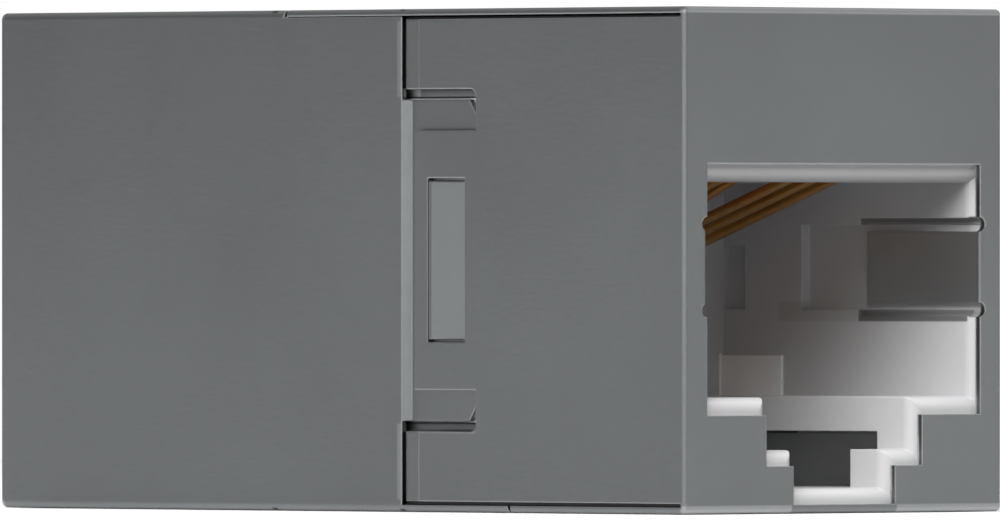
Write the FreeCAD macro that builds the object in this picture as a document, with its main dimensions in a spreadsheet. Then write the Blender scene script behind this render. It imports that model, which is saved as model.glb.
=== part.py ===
import FreeCAD, Part
import Sketcher
import os

# Inline coupler for network leads: two pressed shield shells, two moulded jacks set back to back,
# and the contact wires, contact combs and circuit board between them.
# Millimetres. X is the width, Y the length with the front port at -Y, Z is up from the base.

# Driving dimensions
SIZES = [
    ("shell_length", 30.4),
    ("shell_width", 14.04),
    ("shell_height", 15.6),
    ("rear_sheet", 0.2),
    ("front_sheet", 0.2),
    ("tab_sheet", 0.2),
    ("tongue_sheet", 0.2),
    ("slide_fit", 0.03),
    ("insert_fit", 0.05),
    ("bend_radius", 0.2),
    ("edge_radius", 0.15),
    ("side_seam", 18.04),
    ("top_seam", 12.83),
    ("bottom_seam", 22.67),
    ("seam_gap", 0.13),
    ("slit_width", 0.12),
    ("slit_inset", 0.2),
    ("arm_setback", 0.45),
    ("tail_length", 0.6),
    ("tail_step", 0.07),
    ("port_width", 12.1),
    ("port_floor", 3.02),
    ("port_top", 10.77),
    ("latch_step_width", 6.9),
    ("latch_step_floor", 1.45),
    ("latch_slot_width", 4.5),
    ("latch_slot_floor", 0.26),
    ("side_lip", 0.1),
    ("latch_lip", 0.25),
    ("latch_rise", 0.49),
    ("floor_lip", 0.55),
    ("top_lip", 0.55),
    ("lip_radius", 0.4),
    ("latch_frame", 1.5),
    ("latch_well_top", 2.49),
    ("cavity_depth", 10.9),
    ("rib_length", 2.65),
    ("rib_height", 1.25),
    ("rib_proud", 0.1),
    ("hollow_length", 0.95),
    ("hollow_height", 2.0),
    ("hollow_depth", 0.25),
    ("tab_middle", 7.59),
    ("relief_spacing", 2.65),
    ("relief_radius", 0.22),
    ("tab_length", 4.9),
    ("tab_bend", 0.15),
    ("tab_recess_depth", 7.45),
    ("notch_length", 3.13),
    ("notch_inner", 4.02),
    ("notch_outer", 5.31),
    ("notch_radius", 0.25),
    ("tongue_gap", 0.33),
    ("edge_groove", 1.6),
    ("tongue_margin", 0.35),
    ("corner_length", 0.37),
    ("corner_height", 0.6),
    ("window_height", 5.1),
    ("window_length", 1.63),
    ("window_setback", 1.02),
    ("window_fit", 0.1),
    ("catch_height", 0.22),
    ("joggle_angle", 45.0),
    ("contact_pitch", 1.016),
    ("wire_width", 0.4),
    ("wire_thickness", 0.25),
    ("wire_bend", 0.25),
    ("wire_knee", 10.4),
    ("middle_knee", 11.1),
    ("wire_end", 8.1),
    ("wire_bend_inset", 3.1),
    ("wire_reach", 9.8),
    ("wire_end_gap", 0.1),
    ("row_low", 11.9),
    ("row_high", 13.2),
    ("wire_fit", 0.04),
    ("roof_slot_fit", 0.12),
    ("roof_lip", 2.3),
    ("comb_thickness", 1.1),
    ("board_thickness", 1.0),
    ("board_hole", 0.56),
]
CONTACT_COUNT = 8

doc = FreeCAD.newDocument("inline_coupler")
sheet = doc.addObject("Spreadsheet::Sheet", "sizes")
for row, (alias, number) in enumerate(SIZES, start=1):
    sheet.set("A%d" % row, alias)
    sheet.set("B%d" % row, str(number))
    sheet.setAlias("B%d" % row, alias)
doc.recompute()

# Places worked out from the driving dimensions, as expressions
FRONT_FACE = "(-sizes.shell_length / 2)"
REAR_FACE = "(sizes.shell_length / 2)"
HALF_WIDTH = "(sizes.shell_width / 2)"
MIDDLE_HEIGHT = "(sizes.shell_height / 2)"
REAR_INNER = f"({HALF_WIDTH} - sizes.rear_sheet)"
ARM_INNER = f"({HALF_WIDTH} - sizes.front_sheet)"
TONGUE_OUTER = f"({ARM_INNER} - sizes.slide_fit)"
TONGUE_INNER = f"({TONGUE_OUTER} - sizes.tongue_sheet)"
FLANGE_UNDERSIDE = "(sizes.shell_height - sizes.front_sheet)"
ARM_TOP = f"({FLANGE_UNDERSIDE} - sizes.slit_width)"
ARM_BOTTOM = "(sizes.rear_sheet + sizes.slit_width)"
SIDE_END = f"({REAR_FACE} - sizes.side_seam)"
TOP_END = f"({REAR_FACE} - sizes.top_seam)"
BOTTOM_END = f"({REAR_FACE} - sizes.bottom_seam)"
ARM_END = f"({SIDE_END} - sizes.seam_gap)"
FLANGE_END = f"({BOTTOM_END} - sizes.seam_gap)"
TOP_FLANGE_END = f"({TOP_END} - sizes.seam_gap)"
ARM_MIDDLE_END = f"({ARM_END} - sizes.arm_setback)"
SLIT_FRONT = f"({FRONT_FACE} + sizes.slit_inset)"
WINDOW_REAR = f"({ARM_END} - sizes.window_setback)"
WINDOW_FRONT = f"({WINDOW_REAR} - sizes.window_length)"
NOTCH_END = f"({ARM_END} - sizes.notch_length)"
TONGUE_TIP = f"({WINDOW_FRONT} - sizes.tongue_margin)"
TONGUE_REACH = "(sizes.notch_outer - sizes.tongue_gap)"
TAB_LOW = "(sizes.tab_middle - sizes.relief_spacing / 2)"
TAB_HIGH = "(sizes.tab_middle + sizes.relief_spacing / 2)"

HALF_PORT = "(sizes.port_width / 2)"
JACK_FRONT = f"({FRONT_FACE} + sizes.front_sheet)"
STACK_MIDDLE = "((sizes.front_sheet - sizes.rear_sheet) / 2)"
JACK_BACK = f"({STACK_MIDDLE} - sizes.board_thickness / 2 - sizes.comb_thickness)"
BOARD_FRONT = f"({STACK_MIDDLE} - sizes.board_thickness / 2)"
BOARD_BACK = f"({STACK_MIDDLE} + sizes.board_thickness / 2)"
JACK_HALF = f"({ARM_INNER} - sizes.insert_fit)"
JACK_BOTTOM = "sizes.rear_sheet"
JACK_TOP = "(sizes.shell_height - sizes.rear_sheet - sizes.insert_fit)"
BOARD_HALF = f"({TONGUE_INNER} - sizes.insert_fit)"
CAVITY_HALF = f"({HALF_PORT} - sizes.side_lip)"
CAVITY_FLOOR = "(sizes.port_floor + sizes.floor_lip)"
CAVITY_TOP = "(sizes.port_top - sizes.top_lip)"
CAVITY_BACK = f"({JACK_FRONT} + sizes.cavity_depth)"
STEP_HALF = "(sizes.latch_step_width / 2 - sizes.latch_lip)"
WELL_FLOOR = "(sizes.latch_slot_floor + sizes.latch_rise)"
FIRST_CONTACT = f"(-{CONTACT_COUNT - 1} / 2 * sizes.contact_pitch)"
CONTACT_SPAN = f"({CONTACT_COUNT - 1} * sizes.contact_pitch)"
BEYOND = "sizes.shell_length"


def value(expression):
    """The number that an expression gives with the present sizes."""
    return float(sheet.evalExpression(expression))


def origin_feature(body, role):
    """One of the body's own origin planes or axes."""
    for feature in body.Origin.OriginFeatures:
        if feature.Role == role:
            return feature


def new_body(label):
    """An empty body that carries the piece's name."""
    body = doc.addObject("PartDesign::Body", label)
    body.Label = label
    return body


def new_sketch(body, name, role, offset):
    """A sketch on an origin plane, moved along that plane's normal."""
    sketch = body.newObject("Sketcher::SketchObject", name)
    sketch.AttachmentSupport = [(origin_feature(body, role), "")]
    sketch.MapMode = "FlatFace"
    sketch.setExpression("AttachmentOffset.Base.z", offset)
    return sketch


def cross_sketch(body, name, station):
    """A sketch across the length at a Y station: sketch x is X, sketch y is Z."""
    return new_sketch(body, name, "XZ_Plane", f"-{station}")


def side_sketch(body, name, station):
    """A sketch seen from the side at an X station: sketch x is Y, sketch y is Z."""
    return new_sketch(body, name, "YZ_Plane", station)


def hold_point(sketch, geometry, position, corner):
    """Tie a point to the sketch origin by its two distances."""
    for kind, expression in zip(("DistanceX", "DistanceY"), corner):
        limit = Sketcher.Constraint(kind, -1, 1, geometry, position, value(expression))
        index = sketch.addConstraint(limit)
        sketch.setExpression("Constraints[%d]" % index, expression)


def outline(sketch, corners):
    """A closed outline of straight edges through the corners."""
    points = [FreeCAD.Vector(value(across), value(up), 0) for across, up in corners]
    first = sketch.GeometryCount
    count = len(points)
    for index, start in enumerate(points):
        sketch.addGeometry(Part.LineSegment(start, points[(index + 1) % count]), False)
    for index in range(count):
        following = first + (index + 1) % count
        sketch.addConstraint(Sketcher.Constraint("Coincident", first + index, 2, following, 1))
    for index, corner in enumerate(corners):
        hold_point(sketch, first + index, 1, corner)
    return sketch


def rectangle(sketch, left, right, low, high):
    """A rectangle between two distances across and two heights."""
    return outline(sketch, [(left, low), (right, low), (right, high), (left, high)])


def circle(sketch, across, up, radius):
    """A full circle held by its centre and radius."""
    centre = FreeCAD.Vector(value(across), value(up), 0)
    ring = Part.Circle(centre, FreeCAD.Vector(0, 0, 1), value(radius))
    index = sketch.addGeometry(ring, False)
    hold_point(sketch, index, 3, (across, up))
    limit = sketch.addConstraint(Sketcher.Constraint("Radius", index, value(radius)))
    sketch.setExpression("Constraints[%d]" % limit, radius)
    return sketch


def extrude(body, kind, name, sketch, length, against=False):
    """A pad or pocket of a given length, on one side of its sketch."""
    feature = body.newObject("PartDesign::" + kind, name)
    feature.Profile = sketch
    feature.setExpression("Length", length)
    feature.Reversed = against
    return feature


def cut_across(body, name, sketch):
    """A pocket through the whole width, both ways from a side sketch."""
    feature = extrude(body, "Pocket", name, sketch, f"2 * {BEYOND}")
    feature.SideType = "Symmetric"
    return feature


def mirror(body, name, originals):
    """The same features on the other side of the middle plane."""
    feature = body.newObject("PartDesign::Mirrored", name)
    feature.Originals = originals
    feature.MirrorPlane = (origin_feature(body, "YZ_Plane"), [""])
    body.Tip = feature
    return feature


def repeat_across(body, name, original, count, span):
    """Evenly spaced copies of a feature along the width."""
    feature = body.newObject("PartDesign::LinearPattern", name)
    feature.Originals = [original]
    feature.Direction = (origin_feature(body, "X_Axis"), [""])
    feature.setExpression("Length", span)
    feature.Occurrences = count
    body.Tip = feature
    return feature


def round_edges(body, name, radius, test):
    """A fillet on every edge of the body so far whose middle passes the test."""
    doc.recompute()
    base = body.Tip
    names = []
    for index, edge in enumerate(base.Shape.Edges, start=1):
        if test(edge):
            names.append("Edge%d" % index)
    feature = body.newObject("PartDesign::Fillet", name)
    feature.Base = (base, names)
    feature.setExpression("Radius", radius)
    return feature


def near(number, expression):
    """Whether a number is where an expression says."""
    return abs(number - value(expression)) < 0.001


def runs_along(edge, axis):
    """Whether an edge is straight and lies along X, Y or Z (0, 1 or 2)."""
    start = edge.Vertexes[0].Point
    end = edge.Vertexes[-1].Point
    others = [abs(end[index] - start[index]) for index in range(3) if index != axis]
    return abs(end[axis] - start[axis]) > 0.001 and max(others) < 0.001


def turn_round(body):
    """Set a body made for the front port at the rear port."""
    body.Placement = FreeCAD.Placement(FreeCAD.Vector(), FreeCAD.Rotation(FreeCAD.Vector(0, 0, 1), 180))
    body.setExpression("Placement.Base.y", f"2 * {STACK_MIDDLE}")


def about_middle(reach):
    """The two heights at a distance below and above the middle of the shell."""
    return f"({MIDDLE_HEIGHT} - {reach})", f"({MIDDLE_HEIGHT} + {reach})"


def port_outline(sketch, side, latch, rise, floor, top):
    """The stepped port: plug opening, latch step and latch slot, drawn in by the five lips."""
    half = f"({HALF_PORT} - {side})"
    step = f"(sizes.latch_step_width / 2 - {latch})"
    slot = f"(sizes.latch_slot_width / 2 - {latch})"
    plug_floor = f"(sizes.port_floor + {floor})"
    step_floor = f"(sizes.latch_step_floor + {rise})"
    slot_floor = f"(sizes.latch_slot_floor + {rise})"
    ceiling = f"(sizes.port_top - {top})"
    right = [(slot, slot_floor), (slot, step_floor), (step, step_floor), (step, plug_floor)]
    right += [(half, plug_floor), (half, ceiling)]
    left = [(f"-{across}", up) for across, up in reversed(right)]
    return outline(sketch, right + left)


def add_port(body, face, sheet_size, against):
    """Cut the port in an end plate, with its relief holes, and fold the two ground tabs inwards."""
    opening = port_outline(cross_sketch(body, "port_sketch", face), "0", "0", "0", "0", "0")
    extrude(body, "Pocket", "port", opening, sheet_size, against)
    reliefs = cross_sketch(body, "relief_sketch", face)
    for side in ("-", ""):
        for height in (TAB_LOW, TAB_HIGH):
            circle(reliefs, f"{side}{HALF_PORT}", height, "sizes.relief_radius")
    extrude(body, "Pocket", "reliefs", reliefs, sheet_size, against)
    tabs = cross_sketch(body, "tab_sketch", face)
    low = f"({TAB_LOW} + sizes.relief_radius)"
    high = f"({TAB_HIGH} - sizes.relief_radius)"
    back = f"({HALF_PORT} + sizes.tab_sheet)"
    rectangle(tabs, f"-{back}", f"-{HALF_PORT}", low, high)
    rectangle(tabs, HALF_PORT, back, low, high)
    extrude(body, "Pad", "ground_tabs", tabs, "sizes.tab_length", not against)

    def tab_bend(edge):
        middle = edge.CenterOfMass
        on_face = near(middle.y, face) and near(abs(middle.x), HALF_PORT)
        return runs_along(edge, 2) and on_face and near(middle.z, "sizes.tab_middle")

    round_edges(body, "tab_bends", "sizes.tab_bend", tab_bend)


def build_front_shell():
    """Front plate with the port, top and bottom flanges, and two spring arms between slits."""
    body = new_body("front_shell")
    section = cross_sketch(body, "section", FRONT_FACE)
    rectangle(section, f"-{HALF_WIDTH}", HALF_WIDTH, "0", "sizes.shell_height")
    extrude(body, "Pad", "block", section, f"{ARM_END} - {FRONT_FACE}", True)
    lid = new_sketch(body, "lid_sketch", "XY_Plane", FLANGE_UNDERSIDE)
    rectangle(lid, f"-{HALF_WIDTH}", HALF_WIDTH, ARM_END, TOP_FLANGE_END)
    extrude(body, "Pad", "lid", lid, "sizes.front_sheet")

    def outer_edge(edge):
        middle = edge.CenterOfMass
        on_rim = near(middle.z, "0") or near(middle.z, "sizes.shell_height")
        return near(middle.y, FRONT_FACE) or (runs_along(edge, 1) and on_rim)

    round_edges(body, "outer_edges", "sizes.edge_radius", outer_edge)
    hollow = cross_sketch(body, "hollow_sketch", JACK_FRONT)
    rectangle(hollow, f"-{ARM_INNER}", ARM_INNER, "sizes.front_sheet", FLANGE_UNDERSIDE)
    extrude(body, "Pocket", "hollow", hollow, BEYOND)
    freed = side_sketch(body, "free_sketch", "0")
    outline(freed, [
        (SLIT_FRONT, FLANGE_UNDERSIDE),
        (SLIT_FRONT, ARM_TOP),
        (ARM_END, ARM_TOP),
        (ARM_END, ARM_BOTTOM),
        (SLIT_FRONT, ARM_BOTTOM),
        (SLIT_FRONT, "sizes.front_sheet"),
        (FLANGE_END, "sizes.front_sheet"),
        (FLANGE_END, "-sizes.front_sheet"),
        (BEYOND, "-sizes.front_sheet"),
        (BEYOND, FLANGE_UNDERSIDE),
    ])
    cut_across(body, "free_arms", freed)
    inner_low, inner_high = about_middle("sizes.notch_inner")
    outer_low, outer_high = about_middle("sizes.notch_outer")
    past_end = f"({ARM_END} + sizes.seam_gap)"
    notches = side_sketch(body, "notch_sketch", "0")
    outline(notches, [
        (NOTCH_END, outer_low),
        (past_end, outer_low),
        (past_end, outer_high),
        (NOTCH_END, outer_high),
        (NOTCH_END, inner_high),
        (ARM_MIDDLE_END, inner_high),
        (ARM_MIDDLE_END, inner_low),
        (NOTCH_END, inner_low),
    ])
    cut_across(body, "notches", notches)

    def notch_corner(edge):
        middle = edge.CenterOfMass
        outer = near(abs(middle.z - value(MIDDLE_HEIGHT)), "sizes.notch_outer")
        return runs_along(edge, 0) and near(middle.y, NOTCH_END) and outer

    round_edges(body, "notch_corners", "sizes.notch_radius", notch_corner)
    window = side_sketch(body, "window_sketch", "0")
    low, high = about_middle("sizes.window_height / 2")
    rectangle(window, WINDOW_FRONT, WINDOW_REAR, low, high)
    cut_across(body, "windows", window)
    tail_start = f"({ARM_END} - sizes.tail_length)"
    tails = side_sketch(body, "tail_sketch", HALF_WIDTH)
    rectangle(tails, tail_start, ARM_END, ARM_BOTTOM, outer_low)
    rectangle(tails, tail_start, ARM_END, outer_high, ARM_TOP)
    tail_cut = extrude(body, "Pocket", "tails", tails, "sizes.tail_step")
    mirror(body, "other_tails", [tail_cut])
    add_port(body, FRONT_FACE, "sizes.front_sheet", False)
    return body


def build_rear_shell():
    """Deep shell with the rear port, whose sides end at the seam in joggled tongues with a catch."""
    body = new_body("rear_shell")
    section = cross_sketch(body, "section", REAR_FACE)
    rectangle(section, f"-{HALF_WIDTH}", HALF_WIDTH, "0", "sizes.shell_height")
    extrude(body, "Pad", "block", section, "sizes.bottom_seam")

    def outer_edge(edge):
        return not near(edge.CenterOfMass.y, BOTTOM_END)

    round_edges(body, "outer_edges", "sizes.bend_radius", outer_edge)
    hollow = cross_sketch(body, "hollow_sketch", f"({REAR_FACE} - sizes.rear_sheet)")
    ceiling = "(sizes.shell_height - sizes.rear_sheet)"
    rectangle(hollow, f"-{REAR_INNER}", REAR_INNER, "sizes.rear_sheet", ceiling)
    extrude(body, "Pocket", "hollow", hollow, BEYOND, True)
    seat = f"({FLANGE_UNDERSIDE} - sizes.slide_fit)"
    above = "(2 * sizes.shell_height)"
    opened = side_sketch(body, "seam_sketch", "0")
    outline(opened, [
        (TOP_END, above),
        (TOP_END, seat),
        (SIDE_END, seat),
        (SIDE_END, "sizes.rear_sheet"),
        (f"-{BEYOND}", "sizes.rear_sheet"),
        (f"-{BEYOND}", above),
    ])
    cut_across(body, "seams", opened)
    roof = new_sketch(body, "roof_sketch", "XY_Plane", "sizes.shell_height")
    rectangle(roof, f"-{REAR_INNER}", REAR_INNER, f"-{BEYOND}", TOP_END)
    extrude(body, "Pocket", "roof", roof, "sizes.rear_sheet")
    add_port(body, REAR_FACE, "sizes.rear_sheet", True)
    low, high = about_middle(TONGUE_REACH)
    drop = f"({HALF_WIDTH} - {TONGUE_OUTER})"
    ramp_end = f"({SIDE_END} - {drop} / tan(sizes.joggle_angle))"
    turn_back = "(sizes.tongue_sheet * tan(sizes.joggle_angle / 2))"
    tongue = new_sketch(body, "tongue_sketch", "XY_Plane", low)
    outline(tongue, [
        (HALF_WIDTH, SIDE_END),
        (TONGUE_OUTER, ramp_end),
        (TONGUE_OUTER, TONGUE_TIP),
        (TONGUE_INNER, TONGUE_TIP),
        (TONGUE_INNER, f"({ramp_end} + {turn_back})"),
        (REAR_INNER, f"({SIDE_END} + {turn_back})"),
    ])
    tongue_pad = extrude(body, "Pad", "tongue", tongue, f"2 * {TONGUE_REACH}")
    catch_low = f"({MIDDLE_HEIGHT} - sizes.window_height / 2 + sizes.window_fit)"
    catch = new_sketch(body, "catch_sketch", "XY_Plane", catch_low)
    catch_front = f"({WINDOW_FRONT} + sizes.window_fit)"
    catch_rear = f"({WINDOW_REAR} - sizes.window_fit)"
    catch_top = f"({TONGUE_OUTER} + sizes.catch_height)"
    outline(catch, [
        (TONGUE_INNER, catch_front),
        (TONGUE_OUTER, catch_front),
        (catch_top, catch_rear),
        (TONGUE_INNER, catch_rear),
    ])
    catch_pad = extrude(body, "Pad", "catch", catch, "sizes.window_height - 2 * sizes.window_fit")
    mirror(body, "other_side", [tongue_pad, catch_pad])
    corners = side_sketch(body, "corner_sketch", "0")
    corner_rear = f"({TONGUE_TIP} + sizes.corner_length)"
    cut_low, cut_high = about_middle(f"({TONGUE_REACH} - sizes.corner_height)")
    outline(corners, [(TONGUE_TIP, low), (corner_rear, low), (TONGUE_TIP, cut_low)])
    outline(corners, [(TONGUE_TIP, high), (TONGUE_TIP, cut_high), (corner_rear, high)])
    cut_across(body, "tongue_corners", corners)
    return body


def build_jack(label, at_rear):
    """Moulded jack: rounded mouth, plug cavity, latch frame and well, tab recesses and roof slots."""
    body = new_body(label)
    section = cross_sketch(body, "section", JACK_FRONT)
    rectangle(section, f"-{JACK_HALF}", JACK_HALF, JACK_BOTTOM, JACK_TOP)
    extrude(body, "Pad", "block", section, f"{JACK_BACK} - {JACK_FRONT}", True)
    latch_lips = ("sizes.latch_lip", "sizes.latch_rise")
    lips = ("sizes.side_lip", *latch_lips, "sizes.floor_lip", "sizes.top_lip")
    frame = port_outline(cross_sketch(body, "frame_sketch", JACK_FRONT), *lips)
    extrude(body, "Pocket", "latch_frame", frame, "sizes.latch_frame")
    cavity = cross_sketch(body, "cavity_sketch", f"({JACK_FRONT} + sizes.latch_frame)")
    right = [(HALF_WIDTH, WELL_FLOOR), (HALF_WIDTH, "sizes.latch_well_top")]
    right += [(STEP_HALF, "sizes.latch_well_top"), (STEP_HALF, CAVITY_FLOOR)]
    right += [(CAVITY_HALF, CAVITY_FLOOR), (CAVITY_HALF, CAVITY_TOP)]
    left = [(f"-{across}", up) for across, up in reversed(right)]
    outline(cavity, right + left)
    extrude(body, "Pocket", "cavity", cavity, "sizes.cavity_depth - sizes.latch_frame")

    def mouth_edge(edge):
        middle = edge.CenterOfMass
        on_side = near(abs(middle.x), JACK_HALF)
        on_rim = near(middle.z, JACK_BOTTOM) or near(middle.z, JACK_TOP)
        return near(middle.y, JACK_FRONT) and not (on_side or on_rim)

    round_edges(body, "lips", "sizes.lip_radius", mouth_edge)
    rib = side_sketch(body, "rib_sketch", f"({CAVITY_HALF} - sizes.rib_proud)")
    rib_top = f"({CAVITY_FLOOR} + sizes.rib_height)"
    rectangle(rib, f"({CAVITY_BACK} - sizes.rib_length)", CAVITY_BACK, CAVITY_FLOOR, rib_top)
    rib_pad = extrude(body, "Pad", "rib", rib, "sizes.rib_proud")
    hollow = side_sketch(body, "hollow_sketch", CAVITY_HALF)
    hollow_front = f"({CAVITY_BACK} - sizes.hollow_length)"
    rectangle(hollow, hollow_front, CAVITY_BACK, TAB_LOW, f"({TAB_LOW} + sizes.hollow_height)")
    hollow_cut = extrude(body, "Pocket", "hollow", hollow, "sizes.hollow_depth", True)
    mirror(body, "other_wall", [rib_pad, hollow_cut])
    recess_half = f"({HALF_PORT} + sizes.tab_sheet + sizes.insert_fit)"
    recess = cross_sketch(body, "tab_recess_sketch", JACK_FRONT)
    rectangle(recess, f"-{recess_half}", recess_half, TAB_LOW, TAB_HIGH)
    extrude(body, "Pocket", "tab_recess", recess, "sizes.tab_recess_depth")
    grooves = cross_sketch(body, "groove_sketch", JACK_FRONT)
    for side in ("-", ""):
        for height in (TAB_LOW, TAB_HIGH):
            circle(grooves, f"{side}{HALF_PORT}", height, "sizes.relief_radius")
    extrude(body, "Pocket", "grooves", grooves, "sizes.tab_length")
    clearance = cross_sketch(body, "tongue_recess_sketch", JACK_BACK)
    low, high = about_middle(f"({TONGUE_REACH} + sizes.insert_fit)")
    rectangle(clearance, f"-{HALF_WIDTH}", f"-{BOARD_HALF}", low, high)
    rectangle(clearance, BOARD_HALF, HALF_WIDTH, low, high)
    recess_front = f"({TONGUE_TIP} - sizes.insert_fit)"
    extrude(body, "Pocket", "tongue_recess", clearance, f"{JACK_BACK} - {recess_front}", True)
    grooved = cross_sketch(body, "edge_groove_sketch", JACK_BACK)
    groove_inner = f"({JACK_HALF} - sizes.edge_groove)"
    outer_low, outer_high = about_middle("(sizes.notch_outer + sizes.insert_fit)")
    for near_side, far_side in ((groove_inner, HALF_WIDTH), (f"-{HALF_WIDTH}", f"-{groove_inner}")):
        rectangle(grooved, near_side, far_side, outer_low, low)
        rectangle(grooved, near_side, far_side, high, outer_high)
    groove_front = f"({NOTCH_END} - sizes.insert_fit)"
    extrude(body, "Pocket", "edge_grooves", grooved, f"{JACK_BACK} - {groove_front}", True)
    slot = cross_sketch(body, "roof_slot_sketch", JACK_BACK)
    reach = "(sizes.wire_width / 2 + sizes.roof_slot_fit)"
    slot_top = "(sizes.row_high + sizes.wire_thickness / 2 + sizes.roof_slot_fit)"
    rectangle(slot, f"{FIRST_CONTACT} - {reach}", f"{FIRST_CONTACT} + {reach}", CAVITY_TOP, slot_top)
    slot_length = f"{JACK_BACK} - {JACK_FRONT} - sizes.roof_lip"
    first_slot = extrude(body, "Pocket", "roof_slot", slot, slot_length, True)
    repeat_across(body, "roof_slots", first_slot, CONTACT_COUNT, CONTACT_SPAN)
    if at_rear:
        turn_round(body)
    return body


def build_comb(label, at_rear):
    """Plate behind a jack that holds the contact tails in two staggered rows."""
    body = new_body(label)
    section = cross_sketch(body, "section", JACK_BACK)
    rectangle(section, f"-{BOARD_HALF}", BOARD_HALF, JACK_BOTTOM, JACK_TOP)
    extrude(body, "Pad", "plate", section, "sizes.comb_thickness", True)
    reach = "(sizes.wire_width / 2 + sizes.wire_fit)"
    rise = "(sizes.wire_thickness / 2 + sizes.wire_fit)"
    for name, start, height in (
        ("low_row", FIRST_CONTACT, "sizes.row_low"),
        ("high_row", f"({FIRST_CONTACT} + sizes.contact_pitch)", "sizes.row_high"),
    ):
        hole = cross_sketch(body, name + "_sketch", JACK_BACK)
        sides = (f"{start} - {reach}", f"{start} + {reach}")
        rectangle(hole, *sides, f"{height} - {rise}", f"{height} + {rise}")
        first_hole = extrude(body, "Pocket", name, hole, "sizes.comb_thickness")
        span = f"{CONTACT_SPAN} - sizes.contact_pitch"
        repeat_across(body, name + "_holes", first_hole, CONTACT_COUNT // 2, span)
    if at_rear:
        turn_round(body)
    return body


def build_board():
    """Circuit board between the combs, with a hole for every contact tail."""
    body = new_body("circuit_board")
    section = cross_sketch(body, "section", BOARD_FRONT)
    rectangle(section, f"-{BOARD_HALF}", BOARD_HALF, JACK_BOTTOM, JACK_TOP)
    extrude(body, "Pad", "plate", section, "sizes.board_thickness", True)
    holes = cross_sketch(body, "hole_sketch", BOARD_FRONT)
    for height in ("sizes.row_low", "sizes.row_high"):
        circle(holes, FIRST_CONTACT, height, "(sizes.board_hole / 2)")
    first_holes = extrude(body, "Pocket", "first_holes", holes, "sizes.board_thickness")
    repeat_across(body, "tail_holes", first_holes, CONTACT_COUNT, CONTACT_SPAN)
    return body


def build_contact(label, index, at_rear):
    """Contact wire: a tail through comb and board, a fold at the front and a springy slope back."""
    body = new_body(label)
    height = ("sizes.row_low", "sizes.row_high")[index % 2]
    in_middle = index in (CONTACT_COUNT // 2 - 1, CONTACT_COUNT // 2)
    knee = "sizes.middle_knee" if in_middle else "sizes.wire_knee"
    column = f"({JACK_FRONT} + sizes.wire_bend_inset)"
    column_back = f"({column} + sizes.wire_thickness)"
    tail_end = f"({BOARD_BACK} - sizes.wire_end_gap)"
    tail_top = f"({height} + sizes.wire_thickness / 2)"
    tail_under = f"({height} - sizes.wire_thickness / 2)"
    free_end = f"({JACK_FRONT} + sizes.wire_reach)"
    slant = f"(({knee} - sizes.wire_end) / ({free_end} - {column}))"
    rise = f"(sizes.wire_thickness * sqrt(1 + {slant} ^ 2))"
    inner_knee = f"({knee} - sizes.wire_thickness * {slant} + {rise})"
    station = f"({FIRST_CONTACT} + {index} * sizes.contact_pitch - sizes.wire_width / 2)"
    profile = side_sketch(body, "profile", station)
    outline(profile, [
        (tail_end, tail_top),
        (column, tail_top),
        (column, knee),
        (free_end, "sizes.wire_end"),
        (free_end, f"(sizes.wire_end + {rise})"),
        (column_back, inner_knee),
        (column_back, tail_under),
        (tail_end, tail_under),
    ])
    extrude(body, "Pad", "strip", profile, "sizes.wire_width")

    def bend_at(station_y):
        def test(edge):
            middle = edge.CenterOfMass
            return runs_along(edge, 0) and near(middle.y, station_y)
        return test

    round_edges(body, "inner_bends", "sizes.wire_bend", bend_at(column_back))
    round_edges(body, "outer_bends", "sizes.wire_bend + sizes.wire_thickness", bend_at(column))
    if at_rear:
        turn_round(body)
    return body


def build_all():
    """Every piece of the coupler, in the order it would be put together."""
    bodies = [build_board()]
    for end in ("front", "rear"):
        at_rear = end == "rear"
        bodies.append(build_comb(end + "_comb", at_rear))
        for index in range(CONTACT_COUNT):
            bodies.append(build_contact("%s_contact_%d" % (end, index + 1), index, at_rear))
        bodies.append(build_jack(end + "_jack", at_rear))
    bodies.append(build_rear_shell())
    bodies.append(build_front_shell())
    return bodies


def check(bodies):
    """Stop if any object failed or any piece is not one sound solid."""
    for thing in doc.Objects:
        if "Invalid" in thing.State or "Error" in thing.State:
            raise RuntimeError("%s failed: %s" % (thing.Name, thing.State))
    for body in bodies:
        shape = body.Shape
        if shape.isNull() or not shape.isValid() or len(shape.Solids) != 1:
            raise RuntimeError("%s is not one valid solid" % body.Label)


def main():
    bodies = build_all()
    doc.recompute()
    check(bodies)
    os.makedirs("parts", exist_ok=True)
    for body in bodies:
        body.Shape.exportStep("parts/%s.step" % body.Label)
        print("%s %.3f mm3" % (body.Label, body.Shape.Volume))


main()
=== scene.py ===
# %% [markdown]
# # An inline coupler for network leads
# The coupler is a small metal box that joins two network leads end to end. Two pressed shells snap
# together round two moulded jacks, and spring wires in each jack meet the plug that is pushed in.
# The solids come from CAD as a fixed frame in metres. This lesson gives them finishes, remakes the
# wires as round-edged springs, adds the thin edges of the snap tongues, and lights the coupler as a
# studio would.

# %% Load the frame
import math

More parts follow.
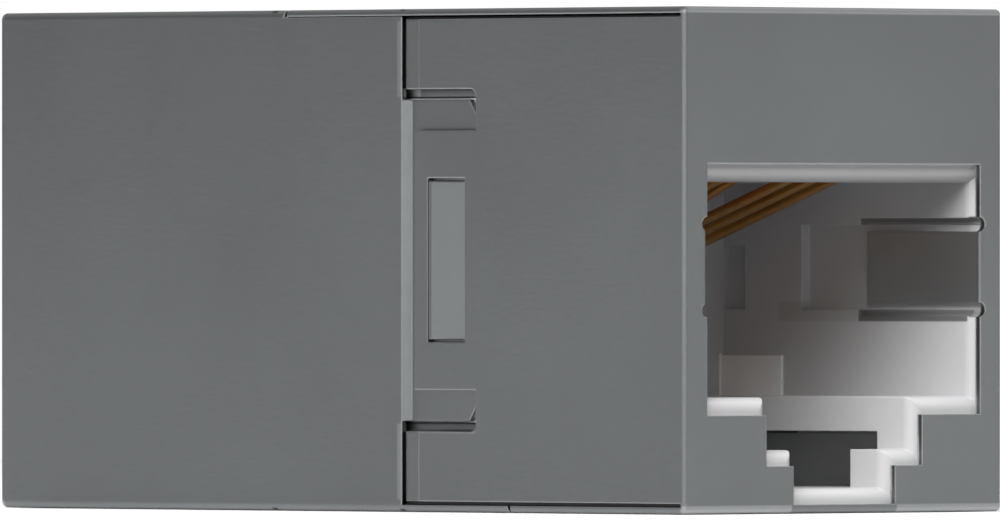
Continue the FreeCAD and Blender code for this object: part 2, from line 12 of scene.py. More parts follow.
import bpy
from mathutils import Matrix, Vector


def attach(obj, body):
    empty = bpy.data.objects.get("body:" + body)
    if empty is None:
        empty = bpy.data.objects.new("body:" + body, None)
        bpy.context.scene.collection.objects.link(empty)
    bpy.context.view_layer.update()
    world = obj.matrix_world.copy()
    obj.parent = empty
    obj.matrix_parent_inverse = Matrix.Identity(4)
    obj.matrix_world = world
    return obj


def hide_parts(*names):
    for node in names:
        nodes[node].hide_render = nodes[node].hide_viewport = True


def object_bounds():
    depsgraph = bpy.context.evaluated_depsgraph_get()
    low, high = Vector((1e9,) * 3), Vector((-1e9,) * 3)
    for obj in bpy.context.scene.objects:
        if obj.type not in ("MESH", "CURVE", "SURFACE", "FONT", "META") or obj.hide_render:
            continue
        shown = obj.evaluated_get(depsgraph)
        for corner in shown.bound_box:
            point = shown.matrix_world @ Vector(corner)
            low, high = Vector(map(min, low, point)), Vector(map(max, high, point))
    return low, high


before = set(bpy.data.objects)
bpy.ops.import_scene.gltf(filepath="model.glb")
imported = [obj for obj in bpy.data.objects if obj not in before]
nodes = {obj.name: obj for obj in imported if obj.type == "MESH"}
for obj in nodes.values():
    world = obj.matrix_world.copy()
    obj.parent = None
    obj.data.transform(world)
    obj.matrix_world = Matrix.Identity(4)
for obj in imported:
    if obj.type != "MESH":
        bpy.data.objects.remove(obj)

MM = 0.001
cad_low, cad_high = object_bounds()
print("CAD box in mm:", [round((high - low) / MM, 2) for low, high in zip(cad_low, cad_high)])

# %% [markdown]
# ## The camera
# The picture was taken level with the box and from one corner, through a long lens, so the top and
# bottom edges hardly converge. A long focal length from far away gives that flat look. The distance
# is named first, and the focal length follows from how many pixels a millimetre takes up.

# %% Camera
IMAGE_WIDTH = 1000
PIXELS_PER_MM = 32.58
SENSOR_WIDTH = 36.0
VIEW_DISTANCE = 755 * MM
VIEW_TURN = math.radians(45)
AIM_ACROSS = 0.1 * MM
AIM_UP = -0.07 * MM
CLIP_NEAR = 0.01
CLIP_FAR = 10


def make_camera():
    """A level camera that looks at the corner between the front and the left side."""
    forward = Vector((math.sin(VIEW_TURN), math.cos(VIEW_TURN), 0))
    right = Vector((math.cos(VIEW_TURN), -math.sin(VIEW_TURN), 0))
    middle = (cad_low + cad_high) / 2
    aim = middle + right * AIM_ACROSS + Vector((0, 0, AIM_UP))
    nearest = min((Vector((x, y, 0)) - aim).dot(forward) for x in (cad_low.x, cad_high.x)
                  for y in (cad_low.y, cad_high.y))
    depth = VIEW_DISTANCE + nearest
    data = bpy.data.cameras.new("corner_camera")
    data.sensor_width = SENSOR_WIDTH
    data.lens = PIXELS_PER_MM / MM * depth * SENSOR_WIDTH / IMAGE_WIDTH
    data.clip_start = CLIP_NEAR
    data.clip_end = CLIP_FAR
    camera = bpy.data.objects.new("corner_camera", data)
    camera.location = aim - forward * VIEW_DISTANCE
    camera.rotation_euler = forward.to_track_quat("-Z", "Y").to_euler()
    bpy.context.scene.collection.objects.link(camera)
    bpy.context.scene.camera = camera
    return camera


camera = make_camera()
print("focal length %.0f mm from %.0f mm away" % (camera.data.lens, VIEW_DISTANCE / MM))

# %% [markdown]
# ## Helpers for node trees
# Floor, world, finishes and wires are all node trees. Three small helpers keep their code short: one
# makes a group with named sockets, one adds a node with its numbers, and one draws a link. A Mix or Map
# Range node has sockets of the same name for each kind of value, so those are told apart by number.

# %% Node helpers
COLOUR_A, COLOUR_B, COLOUR_OUT = 6, 7, 2
RAMP_FROM_MIN, RAMP_FROM_MAX, RAMP_TO_MIN, RAMP_TO_MAX = 7, 8, 9, 10


def new_group(name, inputs, outputs, tree_kind="ShaderNodeTree"):
    """An empty node group with named sockets, and its input and output nodes."""
    group = bpy.data.node_groups.new(name, tree_kind)
    for label, kind, value in inputs:
        socket = group.interface.new_socket(label, in_out="INPUT", socket_type=kind)
        if value is not None:
            socket.default_value = value
    for label, kind in outputs:
        group.interface.new_socket(label, in_out="OUTPUT", socket_type=kind)
    return group, group.nodes.new("NodeGroupInput"), group.nodes.new("NodeGroupOutput")


def add_node(tree, kind, settings=(), values=()):
    """A node with its settings and the numbers of its unlinked sockets."""
    node = tree.nodes.new(kind)
    for name, value in settings:
        setattr(node, name, value)
    for socket, value in values:
        node.inputs[socket].default_value = value
    return node


def link(tree, start, start_socket, end, end_socket):
    """A wire from an output to an input."""
    tree.links.new(start.outputs[start_socket], end.inputs[end_socket])


# %% [markdown]
# ## Floor and studio light
# Satin metal shows what surrounds it, so the light matters as much as the finish. The world is dim at
# the coupler's own height and brighter overhead, and the camera sees it as plain white. The floor is
# pale to the camera and in the metal, but throws little light up into the port: a Light Path node tells
# these cases apart. The broad key panel lights the port from the upper left and is kept out of
# reflections, where it would burn a white patch into the metal from other sides. The shine panel does
# the opposite, so it brightens only metal that faces it. Weak panels on the right, on the left and above
# grade the port face, the long side and the top edges.

# %% Floor
FLOOR_DROP = 0.02 * MM
FLOOR_SIZE = 0.3
FLOOR_ROUGHNESS = 0.9
FLOOR_PALE = (0.85, 0.85, 0.85, 1)
FLOOR_BOUNCE = (0.18, 0.18, 0.18, 1)
FLOOR_GLOW = (0.2, 0.2, 0.2, 1)


def make_floor():
    """A plain pale floor just under the coupler."""
    mesh = bpy.data.meshes.new("floor")
    half = FLOOR_SIZE / 2
    corners = [(-half, -half), (half, -half), (half, half), (-half, half)]
    mesh.from_pydata([(x, y, -FLOOR_DROP) for x, y in corners], [], [(0, 1, 2, 3)])
    floor = bpy.data.objects.new("floor", mesh)
    bpy.context.scene.collection.objects.link(floor)
    finish = bpy.data.materials.new("pale_floor")
    finish.use_nodes = True
    tree = finish.node_tree
    shader = tree.nodes["Principled BSDF"]
    shader.inputs["Roughness"].default_value = FLOOR_ROUGHNESS
    path = add_node(tree, "ShaderNodeLightPath")
    tone = add_node(tree, "ShaderNodeMix", [("data_type", "RGBA")], [
        (COLOUR_A, FLOOR_PALE), (COLOUR_B, FLOOR_BOUNCE)])
    link(tree, path, "Is Diffuse Ray", tone, "Factor")
    link(tree, tone, COLOUR_OUT, shader, "Base Color")
    shader.inputs["Emission Color"].default_value = FLOOR_GLOW
    link(tree, path, "Is Glossy Ray", shader, "Emission Strength")
    mesh.materials.append(finish)


make_floor()
print("floor %.0f mm wide, %.2f mm under the coupler" % (FLOOR_SIZE / MM, FLOOR_DROP / MM))

# %% World
WHITE = (1, 1, 1, 1)
LEVEL_LIGHT = 0.255
SKY_LIGHT = 1.1
SKY_START = 0.25


def make_world():
    """A world that is dim level with the coupler and brighter overhead; the camera sees it as white."""
    world = bpy.data.worlds.new("studio")
    bpy.context.scene.world = world
    world.use_nodes = True
    tree = world.node_tree
    background = tree.nodes["Background"]
    background.inputs["Color"].default_value = WHITE
    direction = add_node(tree, "ShaderNodeTexCoord")
    axes = add_node(tree, "ShaderNodeSeparateXYZ")
    link(tree, direction, "Generated", axes, "Vector")
    rise = add_node(tree, "ShaderNodeMapRange", values=[
        ("From Min", SKY_START), ("From Max", 1.0), ("To Min", LEVEL_LIGHT), ("To Max", SKY_LIGHT)])
    link(tree, axes, "Z", rise, "Value")
    link(tree, rise, "Result", background, "Strength")
    seen = add_node(tree, "ShaderNodeBackground", values=[("Color", WHITE)])
    path = add_node(tree, "ShaderNodeLightPath")
    choice = add_node(tree, "ShaderNodeMixShader")
    link(tree, path, "Is Camera Ray", choice, "Fac")
    link(tree, background, "Background", choice, 1)
    link(tree, seen, "Background", choice, 2)
    link(tree, choice, "Shader", tree.nodes["World Output"], "Surface")


make_world()
print("world light from %.3f level with the coupler to %.1f overhead" % (LEVEL_LIGHT, SKY_LIGHT))

# %% Light panels


def make_panel(name, place, size, watts):
    """A square light panel that faces the middle of the coupler."""
    data = bpy.data.lights.new(name, "AREA")
    data.shape = "SQUARE"
    data.size = size
    data.energy = watts
    panel = bpy.data.objects.new(name, data)
    panel.location = place
    aim = (cad_low + cad_high) / 2
    panel.rotation_euler = (aim - panel.location).to_track_quat("-Z", "Y").to_euler()
    bpy.context.scene.collection.objects.link(panel)
    return panel


make_panel("right_panel", place=(0.16, -0.2, 0.05), size=0.16, watts=0.047)
key_panel = make_panel("key_panel", place=(-0.22, -0.14, 0.24), size=0.26, watts=1.75)
key_panel.visible_glossy = False
shine_panel = make_panel("shine_panel", place=(-0.25, -0.25, 0.1), size=0.14, watts=0.25)
shine_panel.visible_diffuse = False
make_panel("left_panel", place=(-0.3, 0.0, 0.04), size=0.12, watts=0.13)
make_panel("top_panel", place=(0.2, -0.03, 0.22), size=0.16, watts=0.14)
bpy.context.scene.view_settings.view_transform = "Standard"

# %% [markdown]
# ## Effects that several finishes share
# Each effect is a node group, built once and placed in every material with its own numbers. Grain is a
# height for a bump and a value for roughness. Drift is the slow change of tone that keeps a large face
# from looking painted by a computer. Wear compares the true normal with one rounded at the edges: where
# they differ there is an edge, which gets a soft highlight from the turned normal and a lighter colour,
# partly rubbed metal and partly a painted highlight.

# %% Grain group


def make_grain_group():
    """Fine surface grain: a height for bump and a roughness that varies with it."""
    group, start, end = new_group(
        "surface_grain",
        [
            ("Vector", "NodeSocketVector", (0, 0, 0)),
            ("Scale", "NodeSocketFloat", 9000.0),
            ("Roughness", "NodeSocketFloat", 0.4),
            ("Spread", "NodeSocketFloat", 0.08),
        ],
        [("Height", "NodeSocketFloat"), ("Roughness", "NodeSocketFloat")],
    )
    noise = add_node(group, "ShaderNodeTexNoise", values=[("Detail", 3.0), ("Roughness", 0.6)])
    link(group, start, "Vector", noise, "Vector")
    link(group, start, "Scale", noise, "Scale")
    centred = add_node(group, "ShaderNodeMath", [("operation", "SUBTRACT")], [(1, 0.5)])
    link(group, noise, "Fac", centred, 0)
    spread = add_node(group, "ShaderNodeMath", [("operation", "MULTIPLY_ADD")])
    link(group, centred, "Value", spread, 0)
    link(group, start, "Spread", spread, 1)
    link(group, start, "Roughness", spread, 2)
    link(group, noise, "Fac", end, "Height")
    link(group, spread, "Value", end, "Roughness")
    return group


# %% Drift group


def make_drift_group():
    """Slow change of tone over a face, as from handling and plating."""
    group, start, end = new_group(
        "tone_drift",
        [
            ("Vector", "NodeSocketVector", (0, 0, 0)),
            ("Scale", "NodeSocketFloat", 160.0),
            ("Light", "NodeSocketColor", (0.3, 0.3, 0.3, 1)),
            ("Dark", "NodeSocketColor", (0.2, 0.2, 0.2, 1)),
        ],
        [("Color", "NodeSocketColor")],
    )
    noise = add_node(group, "ShaderNodeTexNoise", values=[("Detail", 4.0), ("Roughness", 0.5)])
    link(group, start, "Vector", noise, "Vector")
    link(group, start, "Scale", noise, "Scale")
    shaped = add_node(group, "ShaderNodeMapRange", values=[("From Min", 0.3), ("From Max", 0.7)])
    link(group, noise, "Fac", shaped, "Value")
    mix = add_node(group, "ShaderNodeMix", [("data_type", "RGBA")])
    link(group, shaped, "Result", mix, "Factor")
    link(group, start, "Dark", mix, COLOUR_A)
    link(group, start, "Light", mix, COLOUR_B)
    link(group, mix, COLOUR_OUT, end, "Color")
    return group


# %% Wear and highlight group


def make_wear_and_highlight_group():
    """Rounded edges: a normal that turns at an edge, and a mask that is bright along it, for wear and a
    painted highlight.
    """
    group, start, end = new_group(
        "edge_wear_and_highlight",
        [("Radius", "NodeSocketFloat", 0.04 * MM), ("Strength", "NodeSocketFloat", 2.0)],
        [("Mask", "NodeSocketFloat"), ("Normal", "NodeSocketVector")],
    )
    rounded = add_node(group, "ShaderNodeBevel", [("samples", 6)])
    link(group, start, "Radius", rounded, "Radius")
    true_normal = add_node(group, "ShaderNodeNewGeometry")
    match = add_node(group, "ShaderNodeVectorMath", [("operation", "DOT_PRODUCT")])
    link(group, rounded, "Normal", match, 0)
    link(group, true_normal, "Normal", match, 1)
    turned = add_node(group, "ShaderNodeMath", [("operation", "SUBTRACT")], [(0, 1.0)])
    link(group, match, "Value", turned, 1)
    mask = add_node(group, "ShaderNodeMath", [("operation", "MULTIPLY"), ("use_clamp", True)])
    link(group, turned, "Value", mask, 0)
    link(group, start, "Strength", mask, 1)
    link(group, mask, "Value", end, "Mask")
    link(group, rounded, "Normal", end, "Normal")
    return group


grain_group = make_grain_group()
drift_group = make_drift_group()
wear_and_highlight_group = make_wear_and_highlight_group()
print("shared effects:", [group.name for group in bpy.data.node_groups])

# %% [markdown]
# ## The finishes
# One function wires the three shared effects into a Principled shader, and each finish gives it its own
# numbers. All patterns read Object coordinates, so they stay put on the piece. Grain on rolled sheet
# runs along the sheet, which a stretched coordinate gives, and moulded plastic has an even grain.

# %% Finish builder
GRAIN_DEPTH = 0.01 * MM


def make_finish(name, light, dark, drift_scale, grain_scale, stretch, roughness, spread, bump, wear_and_highlight):
    """A material with tone drift, grain, and edge wear with a painted highlight; the edge argument is
    (radius, strength, colour).
    """
    material = bpy.data.materials.new(name)
    material.use_nodes = True
    tree = material.node_tree
    shader = tree.nodes["Principled BSDF"]
    place = add_node(tree, "ShaderNodeTexCoord")
    drift = add_node(tree, "ShaderNodeGroup", [("node_tree", drift_group)],
                     [("Scale", drift_scale), ("Light", (*light, 1)), ("Dark", (*dark, 1))])
    link(tree, place, "Object", drift, "Vector")
    stretched = add_node(tree, "ShaderNodeMapping", values=[("Scale", stretch)])
    link(tree, place, "Object", stretched, "Vector")
    grain = add_node(tree, "ShaderNodeGroup", [("node_tree", grain_group)],
                     [("Scale", grain_scale), ("Roughness", roughness), ("Spread", spread)])
    link(tree, stretched, "Vector", grain, "Vector")
    edges = add_node(tree, "ShaderNodeGroup", [("node_tree", wear_and_highlight_group)],
                     [("Radius", wear_and_highlight[0]), ("Strength", wear_and_highlight[1])])
    # edge colour: rubbed metal and a painted highlight along every edge, the hollow ones too
    rubbed_and_highlit = add_node(tree, "ShaderNodeMix", [("data_type", "RGBA")], [(COLOUR_B, (*wear_and_highlight[2], 1))])
    link(tree, edges, "Mask", rubbed_and_highlit, "Factor")
    link(tree, drift, "Color", rubbed_and_highlit, COLOUR_A)
    link(tree, rubbed_and_highlit, COLOUR_OUT, shader, "Base Color")
    link(tree, grain, "Roughness", shader, "Roughness")
    relief = add_node(tree, "ShaderNodeBump", values=[("Strength", bump), ("Distance", GRAIN_DEPTH)])
    link(tree, grain, "Height", relief, "Height")
    link(tree, edges, "Normal", relief, "Normal")
    link(tree, relief, "Normal", shader, "Normal")
    return material


# %% [markdown]
# ## Tints that belong to a place
# The metal inside the ports and behind the latch wells is painted lighter where it lies in shade.
# Painted shade darkens the seam between the shells, the floors of the notches, the seats behind the
# catches, the jacks behind the slits and the grooves beside the folded tabs. Painted highlights lighten
# the catches, the lip at the seam, the step in the arms' tails and the lower edge of the lower notch,
# and painted light fills the pocket at the upper notch. The folds of the end plates get a painted
# reflection and highlight. The jacks' ribs are made paler, and the ends of the tongue grooves get
# painted light. Each shell or jack is one piece with one material, so the material has to know where it
# is. A node group measures how far a point lies from a middle along each axis, and its mask is one
# inside a box of such distances. The distances have no sign, so a box about the middle of the coupler
# serves both sides and both ends, and a box about a middle of its own stays at one place.

# %% Place group


def make_place_group():
    """A mask that is one where the distances from a middle lie between a low and a high corner."""
    group, start, end = new_group(
        "place_mask",
        [
            ("Vector", "NodeSocketVector", (0, 0, 0)),
            ("Middle", "NodeSocketVector", (0, 0, 0)),
            ("Low", "NodeSocketVector", (0, 0, 0)),
            ("High", "NodeSocketVector", (1, 1, 1)),
            ("Edge", "NodeSocketFloat", 0.05 * MM),
        ],
        [("Mask", "NodeSocketFloat")],
    )
    offset = add_node(group, "ShaderNodeVectorMath", [("operation", "SUBTRACT")])
    link(group, start, "Vector", offset, 0)
    link(group, start, "Middle", offset, 1)
    distance = add_node(group, "ShaderNodeVectorMath", [("operation", "ABSOLUTE")])
    link(group, offset, "Vector", distance, 0)
    inside = add_node(group, "ShaderNodeVectorMath", [("operation", "MULTIPLY")])
    for slot, corner, near_value, far_value in ((0, "Low", 0, 1), (1, "High", 1, 0)):
        reach = add_node(group, "ShaderNodeVectorMath", [("operation", "ADD")])
        link(group, start, corner, reach, 0)
        link(group, start, "Edge", reach, 1)
        ramp = add_node(group, "ShaderNodeMapRange", [("data_type", "FLOAT_VECTOR")],
                        [(RAMP_TO_MIN, [near_value] * 3), (RAMP_TO_MAX, [far_value] * 3)])
        link(group, distance, "Vector", ramp, "Vector")
        link(group, start, corner, ramp, RAMP_FROM_MIN)
        link(group, reach, "Vector", ramp, RAMP_FROM_MAX)
        link(group, ramp, "Vector", inside, slot)
    axes = add_node(group, "ShaderNodeSeparateXYZ")
    link(group, inside, "Vector", axes, "Vector")
    plan = add_node(group, "ShaderNodeMath", [("operation", "MULTIPLY")])
    link(group, axes, "X", plan, 0)
    link(group, axes, "Y", plan, 1)
    mask = add_node(group, "ShaderNodeMath", [("operation", "MULTIPLY")])
    link(group, plan, "Value", mask, 0)
    link(group, axes, "Z", mask, 1)
    link(group, mask, "Value", end, "Mask")
    return group


place_group = make_place_group()
place_inputs = [item.name for item in place_group.interface.items_tree if item.in_out == "INPUT"]
print("place mask inputs:", place_inputs)

# %% Tint by place
# The middles that tints are measured from
BODY_MIDDLE = (cad_low + cad_high) / 2
TAB_MIDDLE = Vector((0, 0, 7.59 * MM))
CATCH_MIDDLE = Vector((0, -4.805 * MM, BODY_MIDDLE.z))
SEAM_LIP_MIDDLE = Vector((0, -2.74 * MM, BODY_MIDDLE.z))
TAIL_STEP_MIDDLE = Vector((0, -3.58 * MM, BODY_MIDDLE.z))
SEAT_ALONG = -4.04 * MM
SEAT_MIDDLE = Vector((0, SEAT_ALONG, BODY_MIDDLE.z))
NOTCH_MIDDLE = Vector((0, -4.6 * MM, BODY_MIDDLE.z))
UPPER_POCKET_MIDDLE = Vector((0, -2.9 * MM, BODY_MIDDLE.z + 5.2 * MM))
LOWER_EDGE_MIDDLE = Vector((0, -4.54 * MM, BODY_MIDDLE.z - 5.33 * MM))
LOW_GROOVE_MIDDLE = Vector((0, 0, 6.2 * MM))
BASE_MIDDLE = Vector((0, 0, cad_low.z))
TOP_MIDDLE = Vector((0, 0, cad_high.z))
# Bounds in millimetres that leave a box open: more than any distance, and less than any
OPEN = 99
NO_LOW = -1


def tint_place(material, middle, low, high, colour):
    """Mix a colour in where the distances from the middle, in millimetres, are between low and high."""
    tree = material.node_tree
    shader = tree.nodes["Principled BSDF"]
    plain = shader.inputs["Base Color"].links[0].from_socket
    place = add_node(tree, "ShaderNodeTexCoord")
    mask = add_node(tree, "ShaderNodeGroup", [("node_tree", place_group)], [
        ("Middle", middle), ("Low", Vector(low) * MM), ("High", Vector(high) * MM)])
    link(tree, place, "Object", mask, "Vector")
    blend = add_node(tree, "ShaderNodeMix", [("data_type", "RGBA")], [(COLOUR_B, (*colour, 1))])
    link(tree, mask, "Mask", blend, "Factor")
    tree.links.new(plain, blend.inputs[COLOUR_A])
    link(tree, blend, COLOUR_OUT, shader, "Base Color")


# %% [markdown]
# ## The shield's metal
# Both shells are pressed from sheet and plated with satin nickel. A plain grey metal would make every
# fold look new and alike. Here the tone drifts, the grain runs along the sheet, the edges are rubbed
# bright and given a painted highlight, and a list of places gets painted light and shade. The list gives
# millimetres from a middle.

# %% Shield metal
shield_metal = make_finish(
    "shield_metal", light=(0.177, 0.186, 0.19), dark=(0.162, 0.17, 0.174), drift_scale=130,
    grain_scale=7000, stretch=(1, 0.25, 1), roughness=0.42, spread=0.12, bump=0.25,
    wear_and_highlight=(0.08 * MM, 4.0, (0.37, 0.38, 0.385)))
shield_metal.node_tree.nodes["Principled BSDF"].inputs["Metallic"].default_value = 1.0
SHIELD_TINTS = [
    # painted light: the metal inside the ports made brighter where it lies in shade
    (BODY_MIDDLE, (NO_LOW, 6.5, NO_LOW), (6.84, 15.03, 7.62), (0.55, 0.57, 0.58)),
    # painted shade: the seam between the shells darkened to black
    (BODY_MIDDLE, (NO_LOW, 2.7, 5.3), (6.95, 2.92, OPEN), (0.015, 0.015, 0.015)),
    # painted light: the metal behind the latch wells made brighter where it lies in shade
    (BODY_MIDDLE, (NO_LOW, 3.9, 5.4), (6.84, 15.03, 7.1), (0.75, 0.77, 0.78)),
    # painted highlight on the catches
    (CATCH_MIDDLE, (NO_LOW, NO_LOW, NO_LOW), (OPEN, 0.71, 2.45), (0.21, 0.22, 0.224)),
    # painted shade: the seats behind the catches darker than the plain metal, a dark line in place of
    # the edge highlight
    (SEAT_MIDDLE, (6.7, NO_LOW, NO_LOW), (OPEN, 0.06, 2.5), (0.16, 0.168, 0.172)),
    # painted highlight on the rear shell's lip at the seam
    (SEAM_LIP_MIDDLE, (6.95, NO_LOW, 5.05), (OPEN, 0.07, 7.4), (0.25, 0.26, 0.265)),
    # painted highlight: a light line along the step in the tails of the arms
    (TAIL_STEP_MIDDLE, (6.95, NO_LOW, 5.3), (OPEN, 0.01, 7.4), (0.28, 0.29, 0.295)),
    # painted shade on the floors of the notches
    (NOTCH_MIDDLE, (NO_LOW, NO_LOW, 5.0), (6.75, 1.3, 5.4), (0.138, 0.145, 0.148)),
    # painted light in the pocket where the upper notch meets the seam, which lies in shade
    (UPPER_POCKET_MIDDLE, (NO_LOW, NO_LOW, NO_LOW), (6.9, 0.35, 0.1), (0.32, 0.33, 0.335)),
    # painted highlight: a light line along the lower edge of the lower notch
    (LOWER_EDGE_MIDDLE, (6.95, NO_LOW, NO_LOW), (OPEN, 1.5, 0.005), (0.29, 0.3, 0.305)),
    # painted reflection of the pale floor on the bottom fold, and a painted highlight on the top fold of
    # the end plates
    (BASE_MIDDLE, (2.3, 14.95, NO_LOW), (OPEN, OPEN, 0.22), (0.28, 0.29, 0.295)),
    (TOP_MIDDLE, (NO_LOW, 14.95, 0.06), (OPEN, OPEN, 0.16), (0.34, 0.35, 0.355)),
]
for place_and_colour in SHIELD_TINTS:
    tint_place(shield_metal, *place_and_colour)
print(shield_metal.name, "has", len(SHIELD_TINTS), "tints")

# %% [markdown]
# ## The jacks' plastic
# The jacks are moulded from pale grey plastic with a fine, even grain. Most shade in the hollows comes
# from the studio light; painted shade darkens the slits and the grooves beside the tabs, painted light
# brightens the ends of the tongue grooves, and the ribs are made paler.

# %% Jack plastic
jack_plastic = make_finish(
    "jack_plastic", light=(0.56, 0.56, 0.565), dark=(0.52, 0.52, 0.53), drift_scale=220,
    grain_scale=14000, stretch=(1, 1, 1), roughness=0.45, spread=0.1, bump=0.2,
    wear_and_highlight=(0.06 * MM, 1.0, (0.92, 0.92, 0.92)))
JACK_TINTS = [
    # painted shade: the jacks darkened behind the slits
    (BODY_MIDDLE, (6.5, NO_LOW, 7.28), (OPEN, OPEN, OPEN), (0.02, 0.02, 0.02)),
    # the ribs made paler, and painted light on the ends of the tongue grooves, which lie in shade
    (BODY_MIDDLE, (5.75, 4.0, 2.9), (5.88, 6.8, 4.3), (0.93, 0.93, 0.93)),
    (BODY_MIDDLE, (6.45, 5.4, 4.2), (OPEN, 6.3, 5.5), (0.93, 0.93, 0.93)),
    # painted shade in the grooves beside the folded tabs, darkest in the lower ones and lighter where it
    # runs on behind them
    (TAB_MIDDLE, (5.96, 10.0, 1.09), (6.25, 15.1, 1.55), (0.22, 0.22, 0.22)),
    (LOW_GROOVE_MIDDLE, (5.7, 6.5, NO_LOW), (6.25, 10.0, 0.28), (0.46, 0.46, 0.46)),
    (LOW_GROOVE_MIDDLE, (5.7, 10.0, NO_LOW), (6.25, 14.7, 0.28), (0.14, 0.14, 0.14)),
]
for place_and_colour in JACK_TINTS:
    tint_place(jack_plastic, *place_and_colour)
print(jack_plastic.name, "has", len(JACK_TINTS), "tints")

# %% [markdown]
# ## The inner pieces and the wires
# Combs, circuit board and wires lie deep in the box. They could share one dark finish, but each would
# then look wrong once the box is opened. The same builder gives them dark plastic, green lacquer over
# glass fibre, and spring bronze with a flash of gold, paler along its edges as wear and a painted
# highlight.

# %% Inner finishes
comb_plastic = make_finish(
    "comb_plastic", light=(0.05, 0.05, 0.055), dark=(0.035, 0.035, 0.04), drift_scale=220,
    grain_scale=14000, stretch=(1, 1, 1), roughness=0.5, spread=0.1, bump=0.2,
    wear_and_highlight=(0.05 * MM, 1.0, (0.12, 0.12, 0.12)))
board_lacquer = make_finish(
    "board_lacquer", light=(0.03, 0.16, 0.07), dark=(0.02, 0.12, 0.05), drift_scale=300,
    grain_scale=9000, stretch=(1, 1, 1), roughness=0.35, spread=0.1, bump=0.2,
    wear_and_highlight=(0.05 * MM, 1.0, (0.35, 0.33, 0.22)))
contact_metal = make_finish(
    "contact_metal", light=(0.74, 0.39, 0.11), dark=(0.62, 0.3, 0.07), drift_scale=500,
    grain_scale=16000, stretch=(1, 0.2, 1), roughness=0.32, spread=0.12, bump=0.15,
    wear_and_highlight=(0.1 * MM, 3.0, (0.86, 0.78, 0.68)))
contact_metal.node_tree.nodes["Principled BSDF"].inputs["Metallic"].default_value = 1.0
print("inner finishes:", [finish.name for finish in (comb_plastic, board_lacquer, contact_metal)])

# %% [markdown]
# ## Strips along bent lines
# Several small pieces of the coupler are strips: the spring wires, and the edges of the snap tongues.
# They could be extruded outlines, but a real wire is a strip drawn through a die and then bent. So one
# Geometry Nodes tree rounds the bends of the lines that it is given and sweeps a round-edged section
# along them. The sizes and the finish are its inputs.

# %% Tree that makes strips
BEND_STEPS = 6
EDGE_STEPS = 3


def make_strip_tree():
    """Rounds the bends of every line, sweeps a round-edged strip along it and gives it its finish."""
    sizes = ("Bend Radius", "Strip Width", "Strip Thickness", "Edge Round")
    tree, start, end = new_group(
        "bent_strips",
        [("Lines", "NodeSocketGeometry", None)]
        + [(label, "NodeSocketFloat", 0.1 * MM) for label in sizes]
        + [("Finish", "NodeSocketMaterial", None)],
        [("Strips", "NodeSocketGeometry")], "GeometryNodeTree")
    bends = add_node(tree, "GeometryNodeFilletCurve", [("mode", "POLY")], [("Count", BEND_STEPS)])
    link(tree, start, "Lines", bends, "Curve")
    link(tree, start, "Bend Radius", bends, "Radius")
    across = add_node(tree, "GeometryNodeSetCurveNormal", [("mode", "FREE")], [("Normal", (1, 0, 0))])
    link(tree, bends, "Curve", across, "Curve")
    strip = add_node(tree, "GeometryNodeCurvePrimitiveQuadrilateral")
    link(tree, start, "Strip Width", strip, "Width")
    link(tree, start, "Strip Thickness", strip, "Height")
    section = add_node(tree, "GeometryNodeFilletCurve", [("mode", "POLY")], [("Count", EDGE_STEPS)])
    link(tree, strip, "Curve", section, "Curve")
    link(tree, start, "Edge Round", section, "Radius")
    sweep = add_node(tree, "GeometryNodeCurveToMesh", values=[("Fill Caps", True)])
    link(tree, across, "Curve", sweep, "Curve")
    link(tree, section, "Curve", sweep, "Profile Curve")
    realize = add_node(tree, "GeometryNodeRealizeInstances")
    link(tree, sweep, "Mesh", realize, "Geometry")
    coat = add_node(tree, "GeometryNodeSetMaterial")
    link(tree, realize, "Geometry", coat, "Geometry")
    link(tree, start, "Finish", coat, "Material")
    link(tree, coat, "Geometry", end, "Strips")
    return tree


strip_tree = make_strip_tree()
strip_inputs = [item.name for item in strip_tree.interface.items_tree if item.in_out == "INPUT"]
print("strip tree inputs:", strip_inputs)

# %% Strips from lines


def make_lines(name, paths):
    """A curve object with one bent line for each path."""
    lines = bpy.data.curves.new(name, "CURVE")
    lines.dimensions = "3D"
    for path in paths:
        spline = lines.splines.new("POLY")
        spline.points.add(len(path) - 1)
        for point, place in zip(spline.points, path):
            point.co = (*place, 1)
    host = bpy.data.objects.new(name, lines)
    bpy.context.scene.collection.objects.link(host)
    return host


def make_strips(name, paths, sizes, finish):
    """Strips along the paths as one plain mesh that rides on the coupler."""
    host = make_lines(name + "_lines", paths)
    sweep = host.modifiers.new("bent_strips", "NODES")
    sweep.node_group = strip_tree
    sockets = {item.name: item.identifier for item in strip_tree.interface.items_tree}
    for label, value in sizes:
        sweep[sockets[label]] = value
    sweep[sockets["Finish"]] = finish
    evaluated = host.evaluated_get(bpy.context.evaluated_depsgraph_get())
    mesh = bpy.data.meshes.new_from_object(evaluated)
    mesh.name = name
    host.modifiers.remove(sweep)
    bpy.data.objects.remove(host)
    strips = bpy.data.objects.new(name, mesh)
    bpy.context.scene.collection.objects.link(strips)
    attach(strips, "root")
    print(name, "has", len(mesh.polygons), "faces and is",
          [round(size / MM, 2) for size in strips.dimensions], "mm")
    return strips


# %% [markdown]
# ## The spring contacts
# Eight flat wires lie side by side in each jack. Each one comes forward from the circuit board under
# the roof, turns down behind the mouth, and slants back into the port, where the plug presses on it.
# The middle pair is bent higher than the others. The swept wires stand for the CAD ones.

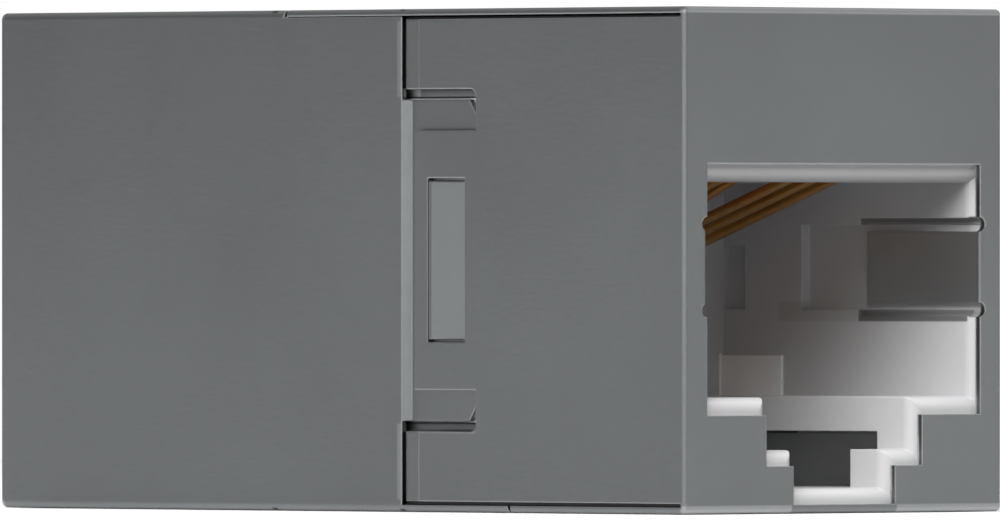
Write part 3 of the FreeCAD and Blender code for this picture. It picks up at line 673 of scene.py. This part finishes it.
# %% Wires
WIRE_SIZES = [
    ("Bend Radius", 0.375 * MM),
    ("Strip Width", 0.4 * MM),
    ("Strip Thickness", 0.25 * MM),
    ("Edge Round", 0.06 * MM),
]
CONTACT_COUNT = 8
CONTACT_PITCH = 1.016 * MM
TAIL_END = 0.4 * MM
FOLD = -11.775 * MM
FREE_END = -5.2 * MM
FREE_HEIGHT = 8.235 * MM
ROW_HEIGHTS = (11.9 * MM, 13.2 * MM)
FOLD_HEIGHT = 10.489 * MM
MIDDLE_FOLD_HEIGHT = 11.181 * MM


def wire_path(index, turn):
    """Tail, upper bend, lower bend and free end of one wire; a turn of -1 faces it to the rear."""
    row = ROW_HEIGHTS[index % 2]
    in_middle = index in (CONTACT_COUNT // 2 - 1, CONTACT_COUNT // 2)
    fold = MIDDLE_FOLD_HEIGHT if in_middle else FOLD_HEIGHT
    column = (index - (CONTACT_COUNT - 1) / 2) * CONTACT_PITCH
    side_view = [(TAIL_END, row), (FOLD, row), (FOLD, fold), (FREE_END, FREE_HEIGHT)]
    return [(turn * column, turn * along, height) for along, height in side_view]


for end, turn in (("front", 1), ("rear", -1)):
    paths = [wire_path(index, turn) for index in range(CONTACT_COUNT)]
    wires = make_strips(end + "_wires", paths, WIRE_SIZES, contact_metal)
    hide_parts(*["%s_contact_%d" % (end, index + 1) for index in range(CONTACT_COUNT)])

# %% [markdown]
# ## The edges of the snap tongues
# On each side a tongue of the rear shell slides under the front shell's arm. A wing along each of its
# edges lies a little deeper and closes the notch from behind, and a seat behind the catch bears on the
# edge of the snap window. Both are short straight strips, so the same tree makes them.

# %% Wings and seats
WING_SIZES = [
    ("Bend Radius", 0.1 * MM),
    ("Strip Width", 0.25 * MM),
    ("Strip Thickness", 0.31 * MM),
    ("Edge Round", 0.03 * MM),
]
SEAT_SIZES = [
    ("Bend Radius", 0.1 * MM),
    ("Strip Width", 0.2 * MM),
    ("Strip Thickness", 0.1 * MM),
    ("Edge Round", 0.02 * MM),
]
WING_OUT = 6.49 * MM
WING_RISE = 5.195 * MM
WING_FRONT = -6.13 * MM
WING_REAR = -1.7 * MM
SEAT_OUT = 6.9 * MM
SEAT_REACH = 2.45 * MM


def tongue_lines():
    """The straight lines of the wings and of the seats, on both sides."""
    wings = []
    seats = []
    middle = BODY_MIDDLE.z
    for side in (-1, 1):
        across = side * SEAT_OUT
        ends = (middle - SEAT_REACH, middle + SEAT_REACH)
        seats.append([(across, SEAT_ALONG, height) for height in ends])
        across = side * WING_OUT
        for height in (middle - WING_RISE, middle + WING_RISE):
            wings.append([(across, WING_FRONT, height), (across, WING_REAR, height)])
    return wings, seats


wing_lines, seat_lines = tongue_lines()
make_strips("tongue_wings", wing_lines, WING_SIZES, shield_metal)
make_strips("catch_seats", seat_lines, SEAT_SIZES, shield_metal)

# %% [markdown]
# ## Dressing the CAD pieces
# Shells, jacks, combs and board already have their true shapes, with smooth normals on the bends, so
# each node keeps its mesh and only its material slot changes. A word in the node's name tells which
# finish it takes.

# %% Give each node its finish
FINISH_BY_WORD = {
    "shell": shield_metal,
    "jack": jack_plastic,
    "comb": comb_plastic,
    "board": board_lacquer,
    "contact": contact_metal,
}


def dress(name, finish):
    """Put a finish on a CAD node in place of the one it came with."""
    mesh = nodes[name].data
    mesh.materials.clear()
    mesh.materials.append(finish)


for name in sorted(nodes):
    for word, finish in FINISH_BY_WORD.items():
        if word in name:
            dress(name, finish)
print("dressed", len(nodes), "nodes")
